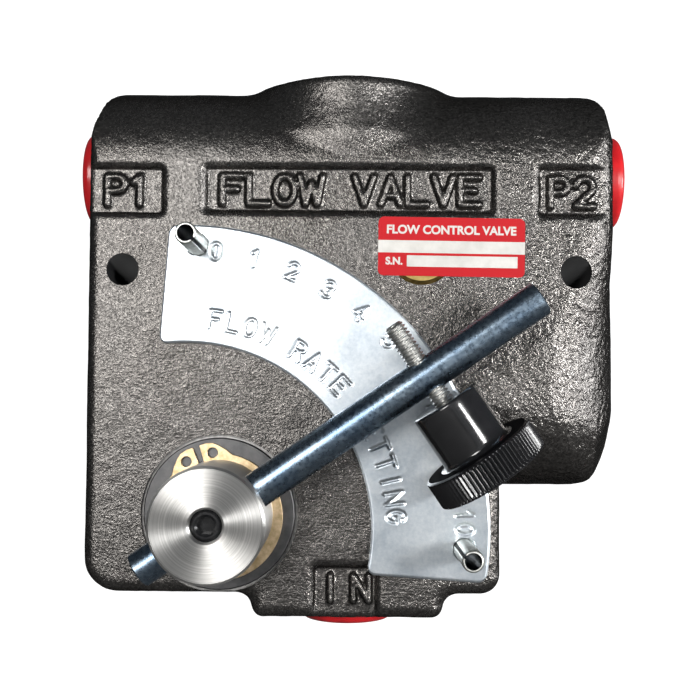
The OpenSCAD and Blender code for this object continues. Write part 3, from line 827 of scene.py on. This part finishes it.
def bore_cutters():
    backward, rightward, upward = (0, 1, 0), (1, 0, 0), (0, 0, 1)
    port = (0, MID_Y, PORT_Z)
    tools = [
        cutter("cut_hub", HUB_BORE, backward, (HUB[0], 0, HUB[1]), 220),
        cutter("cut_plug", PLUG_BORE, backward, (PLUG[0], 0, PLUG[1])),
        cutter("cut_vertical", VERTICAL_BORE, upward, (VERTICAL_X, MID_Y, 0)),
        cutter("cut_left", LEFT_BORE, rightward, port),
        cutter("cut_right", RIGHT_BORE, rightward, port),
    ]
    for i, side in enumerate((-1, 1)):
        origin = (side * MOUNT_X, 0, 0)
        tools.append(cutter("cut_mount_%d" % i, MOUNT_BORE, backward, origin, 96))
    for i, (x, z) in enumerate(PINS):
        tools.append(cutter("cut_pin_%d" % i, PIN_BORE, backward, (x, 0, z), 64))
    return tools


def cut(ob, tools):
    for tool in tools:
        boolean = ob.modifiers.new("cut", "BOOLEAN")
        boolean.operation = "DIFFERENCE"
        boolean.object = tool
        boolean.solver = "MANIFOLD"
    mesh = evaluated_mesh(ob)
    ob.modifiers.clear()
    old = ob.data
    if len(mesh.polygons) == len(old.polygons):
        raise RuntimeError("the cuts did nothing")
    ob.data = mesh
    bpy.data.meshes.remove(old)
    for tool in tools:
        bpy.data.objects.remove(tool)


def read_array(items, key, width, dtype=float):
    values = np.zeros(len(items) * width, dtype)
    items.foreach_get(key, values)
    return values.reshape(-1, width) if width > 1 else values


def face_slots(mesh):
    """material slot of each face, told by where it lies"""
    x, y, z = (read_array(mesh.polygons, "center", 3) * 1000).T
    normal = read_array(mesh.polygons, "normal", 3)
    slack = 0.02
    machined = (np.hypot(x - HUB[0], z - HUB[1]) < HUB_RECESS_R + slack) & (y < -3)
    from_plug = np.hypot(x - PLUG[0], z - PLUG[1])
    machined |= (from_plug < PLUG_RECESS_R + slack) & (y < FRONT_Y + 12)
    # the bores, and the flat faces around their mouths
    face_r = 14.6
    from_port = np.hypot(y - MID_Y, z - PORT_Z)
    port_face = (from_port < face_r) & (np.abs(normal[:, 0]) > 0.97) & (np.abs(x) > 65)
    machined |= (from_port < MOUTH_R + slack) | port_face
    from_vertical = np.hypot(x - VERTICAL_X, y - MID_Y)
    machined |= from_vertical < 12.5
    machined |= (from_vertical < face_r) & (np.abs(normal[:, 2]) > 0.97)
    # the mounting face
    machined |= (y > -0.4) & (normal[:, 1] > 0.9) & (z < PORT_Z)
    slots = np.where(machined, MACHINED, CAST).astype(np.int32)
    for side in (-1, 1):
        # the mounting holes' bores take the near-black painted shade
        in_hole = np.hypot(x - side * MOUNT_X, z) < MOUNT_R + slack
        slots[in_hole & (y > FRONT_Y)] = BORE_PAINTED_SHADE
    return slots


def sharpen_skin_borders(mesh, slots):
    """an edge between cast and machined skin is always crisp"""
    loop_edge = read_array(mesh.loops, "edge_index", 1, np.int32)
    loop_total = read_array(mesh.polygons, "loop_total", 1, np.int32)
    not_cast = np.repeat(np.minimum(slots, 1), loop_total)
    cut_sides = np.bincount(loop_edge, weights=not_cast, minlength=len(mesh.edges))
    sides = np.bincount(loop_edge, minlength=len(mesh.edges))
    sharp = read_array(mesh.edges, "use_edge_sharp", 1, bool)
    border = (cut_sides > 0) & (cut_sides < sides)
    mesh.edges.foreach_set("use_edge_sharp", sharp | border)


def build_casting():
    points, quads = casting_skin()
    mats = [LOOKS["cast"], LOOKS["machined"], LOOKS["bore_painted_shade"]]
    body = new_object("casting", points, orient([quads], points), mats)
    cut(body, bore_cutters())
    mesh = body.data
    slots = face_slots(mesh)
    mesh.polygons.foreach_set("material_index", slots)
    mesh.polygons.foreach_set("use_smooth", [True] * len(slots))
    mesh.set_sharp_from_angle(angle=math.radians(48))
    sharpen_skin_borders(mesh, slots)
    mesh.update()
    attach(body, "housing", "valve_body")


build_casting()

# ------------------------------------------------------------------ dial plate
PLATE_OUTER, PLATE_INNER = 80.5, 49.3
PLATE_THICK = 1.5
PLATE_CORNER = 2.4
# two points (x, z) on each straight end
LOWER_END = ((5.9, -80.0), (34.2, -81.9))
UPPER_END = ((-49.8, -14.7), (-47.9, 10.8))
NUMBER_RADIUS, NUMBER_HEIGHT = 73.9, 4.4
WORDS_RADIUS, WORDS_HEIGHT = 55.9, 4.7


def end_angle(radii, line, upper):
    """angle at which each radius meets the plate's end line, after rounding the corners"""
    first, second = np.array(line)
    along = second - first
    along /= np.linalg.norm(along)
    normal = np.array([-along[1], along[0]])
    middle = math.radians(42)
    inside = np.array([math.cos(middle), math.sin(middle)]) * 65 + np.array(DIAL)
    if (inside - first) @ normal < 0:
        normal = -normal
    over = np.maximum(radii - (PLATE_OUTER - PLATE_CORNER), (PLATE_INNER + PLATE_CORNER) - radii)
    over = np.clip(over, 0, PLATE_CORNER)
    shrink = PLATE_CORNER - np.sqrt(np.maximum(PLATE_CORNER * PLATE_CORNER - over * over, 0))
    offset = (first - np.array(DIAL)) @ normal + shrink
    facing = math.atan2(normal[1], normal[0])
    swing = np.arccos(np.clip(offset / radii, -1, 1))
    return facing + swing if upper else facing - swing


def stamp(depth, radii, angles, char, centre, mid_radius, height, widen=1.0):
    """press a glyph into depth, with a slight raised lip"""
    half, deep = 0.42, 0.30
    width = GLYPH_W * height * widen
    u = (centre - angles) * mid_radius + width / 2
    v = radii - mid_radius + height / 2
    m = (u > -1.5) & (u < width + 1.5) & (v > -1.5) & (v < height + 1.5)
    segments = strokes(char) * np.array([height * widen, height])
    aside = segment_distance(u[m], v[m], segments)
    groove = deep * (1 - smooth01((aside - half * 0.35) / (half * 1.1)))
    lip = -0.06 * np.exp(-((aside - half * 1.9) / 0.28) ** 2)
    depth[m] = np.where(groove > 0.02, np.maximum(depth[m], groove), depth[m] + lip)


def stamp_dial(depth, radii, angles):
    for number in range(11):
        centre = math.radians(84.0 - 8.2 * number)
        if number < 10:
            stamp(depth, radii, angles, str(number), centre, NUMBER_RADIUS, NUMBER_HEIGHT)
            continue
        for char, aside in (("1", 1.9), ("0", -1.9)):
            stamp(depth, radii, angles, char, centre + aside / NUMBER_RADIUS,
                  NUMBER_RADIUS, NUMBER_HEIGHT, widen=0.9)
    words = "FLOW RATE SETTING"
    first, last = 82.0, 4.0              # degrees
    for i, char in enumerate(words):
        if char != " ":
            centre = math.radians(first - (first - last) * i / (len(words) - 1))
            stamp(depth, radii, angles, char, centre, WORDS_RADIUS, WORDS_HEIGHT)


def build_dial_plate():
    edge = PLATE_CORNER * (1 - np.cos(np.linspace(0, math.pi / 2, 9)))
    between = np.linspace(PLATE_INNER + PLATE_CORNER, PLATE_OUTER - PLATE_CORNER, 92)[1:-1]
    row_radii = np.concatenate([PLATE_INNER + edge, between, PLATE_OUTER - edge[::-1]])
    low = end_angle(row_radii, LOWER_END, False)[:, None]
    high = end_angle(row_radii, UPPER_END, True)[:, None]
    sweep = np.concatenate([np.linspace(0, 0.012, 6)[:-1], np.linspace(0.012, 0.988, 396),
                            np.linspace(0.988, 1, 6)[1:]])
    radii = np.repeat(row_radii[:, None], len(sweep), 1)
    angles = low + (high - low) * sweep[None, :]
    x = DIAL[0] + radii * np.cos(angles)
    z = DIAL[1] + radii * np.sin(angles)
    depth = np.zeros_like(radii)
    stamp_dial(depth, radii, angles)
    # the sheared edge rolls over a little, and the sheet isn't perfectly flat
    rim = np.minimum(np.minimum(radii - PLATE_INNER, PLATE_OUTER - radii),
                     np.minimum((angles - low) * radii, (high - angles) * radii))
    depth += 0.22 * (1 - smooth01(rim / 0.6)) ** 2
    flat = np.stack([x.ravel(), np.zeros(x.size), z.ravel()], -1)
    depth += 0.03 * value_noise(flat, 14.0, 21).reshape(x.shape)
    # wells for the stop pins
    for pin_x, pin_z in PINS:
        from_pin = np.hypot(x - pin_x, z - pin_z)
        depth = np.maximum(depth, 1.45 * (1 - smooth01((from_pin - 2.55) / 0.35)))
    front = np.stack([x, FRONT_Y - PLATE_THICK + depth, z], -1).reshape(-1, 3)
    back = np.stack([x, np.full_like(x, FRONT_Y - 0.01), z], -1).reshape(-1, 3)
    verts = np.vstack([front, back])
    rows, cols = x.shape
    front_faces = grid_faces(rows, cols)
    back_faces = grid_faces(rows, cols, base=len(front))[:, ::-1]
    rim_loop = np.array(list(range(cols)) + [i * cols + cols - 1 for i in range(1, rows)]
                        + [(rows - 1) * cols + j for j in range(cols - 2, -1, -1)]
                        + [i * cols for i in range(rows - 2, 0, -1)])
    after = np.roll(rim_loop, -1)
    side = np.stack([rim_loop, after, after + len(front), rim_loop + len(front)], -1)
    # turn every face outwards
    corner = verts[front_faces[0, 0]]
    edge_a, edge_b = verts[front_faces[0, 1]] - corner, verts[front_faces[0, 3]] - corner
    if np.cross(edge_a, edge_b)[1] > 0:
        front_faces, back_faces = front_faces[:, ::-1], back_faces[:, ::-1]
    else:
        side = side[:, ::-1]
    faces = [np.vstack([front_faces, back_faces, side])]
    plate = new_object("dial_plate_stamped", verts, faces, [LOOKS["zinc"]], sharp=50)
    attach(plate, "housing", "dial_plate")


build_dial_plate()

# ------------------------------------------------------------------ thumb screw
ROD_Y = FRONT_Y - 19.5
STATION = 64.4                           # screw's place along the rod, from the hub axis
SCREW_TILT = math.radians(3.5)           # knob end leans back, towards +Y
rod_dir = np.array([math.cos(ROD_ANGLE), 0, math.sin(ROD_ANGLE)])
across_rod = np.array([math.sin(ROD_ANGLE), 0, -math.cos(ROD_ANGLE)])
screw_dir = across_rod * math.cos(SCREW_TILT) + np.array([0, 1, 0]) * math.sin(SCREW_TILT)
SCREW_ORIGIN = np.array([HUB[0], ROD_Y, HUB[1]]) + rod_dir * STATION
SCREW_FRAME = frame_of(screw_dir, rod_dir)

PITCH = 1.0
CREST_R, ROOT_R = 2.74, 2.14
STUD_TIP, THREAD_END, STUD_END = -15.1, 10.0, 24.0  # along the screw

RIBS = 84
BORE_R, BORE_END = 2.81, 24.1
KNOB_START = 7.6
NECK_R, NECK_ROUND = 8.95, 0.75
COLLAR_START, COLLAR_ROUND = 21.0, 1.4
HEAD_R = 15.0


def thread(angle, _radius, along):
    phase = (along / PITCH - angle / (2 * math.pi)) % 1.0
    triangle = 1 - np.abs(2 * phase - 1)
    ridge = np.clip((triangle - 0.10) / 0.78, 0, 1)
    radius = ROOT_R + (CREST_R - ROOT_R) * ridge
    # the tip is chamfered
    tip = np.clip((along - STUD_TIP) / 0.9, 0, 1)
    return np.minimum(radius, ROOT_R - 0.25 + (CREST_R - ROOT_R + 0.25) * tip)


def build_stud():
    rows = np.concatenate([[STUD_TIP], np.arange(STUD_TIP, THREAD_END, PITCH / 12),
                           [THREAD_END, STUD_END]])
    # thread() sets the radius
    verts, faces = lathe([(2.0, float(s)) for s in rows], 64, thread)
    verts = place(verts, SCREW_FRAME, SCREW_ORIGIN)
    stud = new_object("thumb_stud_threaded", verts, orient(faces, verts), [LOOKS["stud"]],
                      sharp=60)
    attach(stud, "screw_stud", "thumb_stud")


def knurl(angle, radius, along):
    phase = (angle * RIBS / (2 * math.pi)) % 1.0
    triangle = np.abs(2 * phase - 1)
    band = smooth01((along - 22.75) / 0.35) * smooth01((29.85 - along) / 0.5)
    return radius - (radius > 14.0) * band * 0.52 * np.clip(triangle * 1.15, 0, 1)


def knob_profile():
    """(radius, along) from the bore's blind end, round the neck, to the head's end face"""
    neck_edge = [(NECK_R - NECK_ROUND + NECK_ROUND * math.sin(t),
                  KNOB_START + NECK_ROUND - NECK_ROUND * math.cos(t))
                 for t in np.linspace(0.2, math.pi / 2, 6)]
    collar = [(NECK_R + COLLAR_ROUND * (1 - math.cos(t)),
               COLLAR_START + COLLAR_ROUND * math.sin(t))
              for t in np.linspace(0.2, math.pi / 2, 7)]
    return (
        [(BORE_R, BORE_END), (BORE_R, KNOB_START), (8.2, KNOB_START)]
        + neck_edge
        + [(NECK_R, s) for s in np.linspace(9.5, 20.6, 8)]
        + collar
        + [(r, COLLAR_START + COLLAR_ROUND) for r in (11.5, 12.6, 13.6, 14.2)]
        + [(14.95, 22.75), (HEAD_R, 22.95), (HEAD_R, 23.3)]
        + [(HEAD_R, s) for s in np.linspace(23.8, 29.0, 9)]
        + [(HEAD_R, 29.4), (14.9, 29.7), (14.6, 29.95), (14.1, 30.15), (13.2, 30.3),
           (12.0, 30.38), (9.0, 30.4), (4.0, 30.4), (0.3, 30.4)])


def build_knob():
    verts, faces = lathe(knob_profile(), RIBS * 8, knurl)
    slots = []
    for g in faces:
        radius = np.hypot(verts[g][:, :, 0], verts[g][:, :, 1]).mean(1)
        along = verts[g][:, :, 2].mean(1)
        # the head's underside takes the painted-shade black
        step = (radius > 10.2) & (along < 22.8)
        slots.append(np.where(radius > 14.4, 1, np.where(step, 2, 0)))
    verts = place(verts, SCREW_FRAME, SCREW_ORIGIN)
    mats = [LOOKS["knob"], LOOKS["knurl"], LOOKS["knob_step_painted_shade"]]
    knob = new_object("thumb_knob_knurled", verts, orient(faces, verts), mats, sharp=42,
                      index=np.concatenate(slots))
    attach(knob, "screw_knob", "thumb_knob")


build_stud()
build_knob()

# ------------------------------------------------------------------ label print
LABEL_TURN = math.radians(-0.6)


def on_label(x, z):
    cos, sin = math.cos(LABEL_TURN), math.sin(LABEL_TURN)
    return (LABEL[0] + x * cos - z * sin, LABEL[1] + x * sin + z * cos)


def silver_patch(name, x0, x1, z0, z1, corner):
    points = []
    for x, z, start in ((x1 - corner, z1 - corner, 0), (x0 + corner, z1 - corner, 90),
                        (x0 + corner, z0 + corner, 180), (x1 - corner, z0 + corner, 270)):
        for turn in np.linspace(0, 90, 5):
            angle = math.radians(start + turn)
            points.append(on_label(x + corner * math.cos(angle), z + corner * math.sin(angle)))
    x, z = np.array(points).T
    n = len(points)
    back, front = FRONT_Y - 0.17, FRONT_Y - 0.18 - 0.03
    verts = np.vstack([np.column_stack([x, np.full(n, front), z]),
                       np.column_stack([x, np.full(n, back), z]),
                       [[x.mean(), front, z.mean()]], [[x.mean(), back, z.mean()]]])
    i = np.arange(n)
    j = (i + 1) % n
    fans = np.vstack([np.stack([np.full(n, 2 * n), i, j], -1),
                      np.stack([np.full(n, 2 * n + 1), j + n, i + n], -1)])
    sides = np.stack([j, i, i + n, j + n], -1)
    patch = new_object(name, verts, orient([sides, fans], verts), [LOOKS["label_silver"]],
                       smooth=False)
    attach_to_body(patch, "housing")


def label_text(name, text, size, x, z):
    curve = bpy.data.curves.new(name, "FONT")
    curve.body = text
    curve.size = size * MM
    curve.extrude = 0.02 * MM
    curve.offset = 0.11 * MM
    writing = link_object(name, curve)
    mesh = evaluated_mesh(writing)
    bpy.data.objects.remove(writing)
    mesh.name = name
    mesh.materials.clear()
    mesh.materials.append(LOOKS["label_white"])
    ob = link_object(name, mesh)
    x, z = on_label(x, z)
    # text lies in XY; stand it up facing -Y
    turn = Matrix.Rotation(-LABEL_TURN, 4, "Y") @ Matrix.Rotation(math.radians(90), 4, "X")
    mesh.transform(Matrix.Translation((x * MM, (FRONT_Y - 0.19) * MM, z * MM)) @ turn)
    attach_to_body(ob, "housing")


silver_patch("label_band", -19.5, 19.5, -1.72, 1.58, corner=0.05)
silver_patch("label_number_box", -11.85, 17.55, -5.4, -2.4, corner=0.12)
label_text("label_title", "FLOW CONTROL VALVE", size=3.12, x=-17.4, z=3.45)
label_text("label_serial", "S.N.", size=2.7, x=-17.5, z=-4.85)

# ------------------------------------------------------------------ stage
FLOOR_Z = -156.5
SHEET_Y = 0.4                            # just behind the mounting face
REACH = 2500
SHADE_SQUARE_HALF = 6.5                          # half side of the squares of painted shade behind the mounting holes
STAGE_GREY = (0.22, 0.22, 0.22)


def stage_shader(name):
    """grey surface, the same with a white glow added, and the ray kinds"""
    mat = Shader(name, textured=False)
    mat.set(Metallic=0.0, Roughness=0.9, Base_Color=STAGE_GREY, Specular_IOR_Level=0.0)
    camera_ray = mat.add("LightPath").outputs["Is Camera Ray"]
    glow = mat.add("Emission", {"Color": (1, 1, 1)})
    lit = mat.add("AddShader", {0: mat.principled.outputs[0], 1: glow.outputs[0]})
    return mat, camera_ray, glow.inputs["Strength"], lit.outputs[0]


def floor_material(name):
    """nearly white to the camera, plain grey to every other ray"""
    mat, camera_ray, strength, lit = stage_shader(name)
    strength.default_value = 0.90
    plain_grey = mat.principled.outputs[0]
    mat.surface(mat.add("MixShader", {0: camera_ray, 1: plain_grey, 2: lit}))
    return mat.material


def sheet_material(name):
    """white to the camera, near black behind the mounting holes seen square on as painted shade,
    and clear from behind and to every other ray"""
    mat, camera_ray, strength, lit = stage_shader(name)
    geometry = mat.add("NewGeometry").outputs
    position = mat.split(geometry["Position"])
    from_hole = mat.math("SUBTRACT", mat.math("ABSOLUTE", position[0]), MOUNT_X * MM)
    in_x = mat.math("LESS_THAN", mat.math("ABSOLUTE", from_hole), SHADE_SQUARE_HALF * MM)
    in_z = mat.math("LESS_THAN", mat.math("ABSOLUTE", position[2]), SHADE_SQUARE_HALF * MM)
    square_on = mat.math("LESS_THAN", mat.split(geometry["Incoming"])[1], -0.9)
    painted_shade = mat.math("MULTIPLY", mat.math("MULTIPLY", in_x, in_z), square_on)
    unshaded = mat.math("SUBTRACT", 1.0, painted_shade)
    # painted shade: inside the squares behind the holes the glow is dropped and the colour goes
    # near black
    put(mat.tree, mat.math("MULTIPLY", unshaded, 0.98), strength)
    mat.set(Base_Color=mat.mix(unshaded, (0.004, 0.005, 0.012), STAGE_GREY))
    clear = mat.add("BsdfTransparent").outputs[0]
    facing = mat.math("SUBTRACT", 1.0, geometry["Backfacing"])
    seen = mat.math("MULTIPLY", camera_ray, facing)
    mat.surface(mat.add("MixShader", {0: seen, 1: clear, 2: lit}))
    return mat.material


def stage_sheet(name, corners, material):
    ob = new_object(name, corners, [np.array([[0, 1, 2, 3]])], [material(name)], smooth=False)


stage_sheet("floor_pale", [(-REACH, -REACH, FLOOR_Z), (REACH, -REACH, FLOOR_Z),
                           (REACH, REACH, FLOOR_Z), (-REACH, REACH, FLOOR_Z)], floor_material)
# faces the camera (-Y)
stage_sheet("back_sheet", [(-REACH, SHEET_Y, FLOOR_Z), (REACH, SHEET_Y, FLOOR_Z),
                           (REACH, SHEET_Y, REACH), (-REACH, SHEET_Y, REACH)], sheet_material)

# ------------------------------------------------------------------ world and lights, metres
scene = bpy.context.scene


def build_world():
    """white to the camera, a faint blue fill to every other ray"""
    world = bpy.data.worlds.new("soft_white")
    scene.world = world
    world.use_nodes = True
    tree = world.node_tree
    fill = tree.nodes["Background"]
    put(tree, (0.80, 0.90, 1.0), fill.inputs["Color"])
    put(tree, 0.08, fill.inputs["Strength"])
    white = add_node(tree, "Background", {"Color": (1, 1, 1), "Strength": 1.0})
    camera_ray = add_node(tree, "LightPath").outputs["Is Camera Ray"]
    mix = add_node(tree, "MixShader", {0: camera_ray, 1: fill.outputs[0], 2: white.outputs[0]})
    put(tree, mix.outputs[0], tree.nodes["World Output"].inputs[0])


def area(name, at, aim, size, watts, color):
    light = bpy.data.lights.new(name, "AREA")
    light.energy = watts
    light.color = color
    light.shape = "RECTANGLE"
    light.size = size
    light.size_y = size
    ob = bpy.data.objects.new(name, light)
    ob.location = at
    ob.rotation_euler = (Vector(aim) - Vector(at)).to_track_quat("-Z", "Y").to_euler()
    scene.collection.objects.link(ob)


build_world()
area("key_upper_left", at=(-0.30, -0.86, 0.15), aim=(-0.01, -0.05, -0.02), size=0.34,
     watts=5.2, color=(1.0, 0.99, 0.97))
area("lamp_right", at=(0.56, -0.78, 0.045), aim=(0.05, -0.04, 0.0), size=0.15,
     watts=7.4, color=(1.0, 1.0, 0.99))
area("side_right", at=(0.88, -0.24, 0.05), aim=(0.05, -0.03, 0.0), size=0.24,
     watts=4.6, color=(0.98, 0.99, 1.0))
area("front_fill", at=(0.10, -1.2, -0.02), aim=(0, -0.04, -0.03), size=0.8,
     watts=0.7, color=(0.95, 0.98, 1.0))
area("rear_fill", at=(0, 1.1, -0.185), aim=(0, 0, -0.02), size=0.08,
     watts=20.0, color=(1.0, 1.0, 1.0))

# ------------------------------------------------------------------ camera
CAMERA_AT = (0.00052, -0.3528, -0.0331)  # metres
CAMERA_TURNS = ((0.0070, "Z"), (0.0005, "Y"), (0.0398, "X"))  # radians, off looking along +Y


def build_camera():
    camera = bpy.data.cameras.new("cam")
    camera.sensor_width = 36.0
    camera.lens = 58.6594286
    camera.clip_start = 0.01
    camera.clip_end = 20
    ob = link_object("cam", camera)
    # stands the camera up: its -Z looks along +Y
    upright = Matrix(((1, 0, 0), (0, 0, -1), (0, 1, 0)))
    yaw, roll, pitch = (Matrix.Rotation(angle, 3, axis) for angle, axis in CAMERA_TURNS)
    pose = (upright @ (yaw @ roll @ pitch)).to_4x4()
    pose.translation = Vector(CAMERA_AT)
    ob.matrix_world = pose
    scene.camera = ob
    scene.view_settings.view_transform = "Standard"


build_camera()
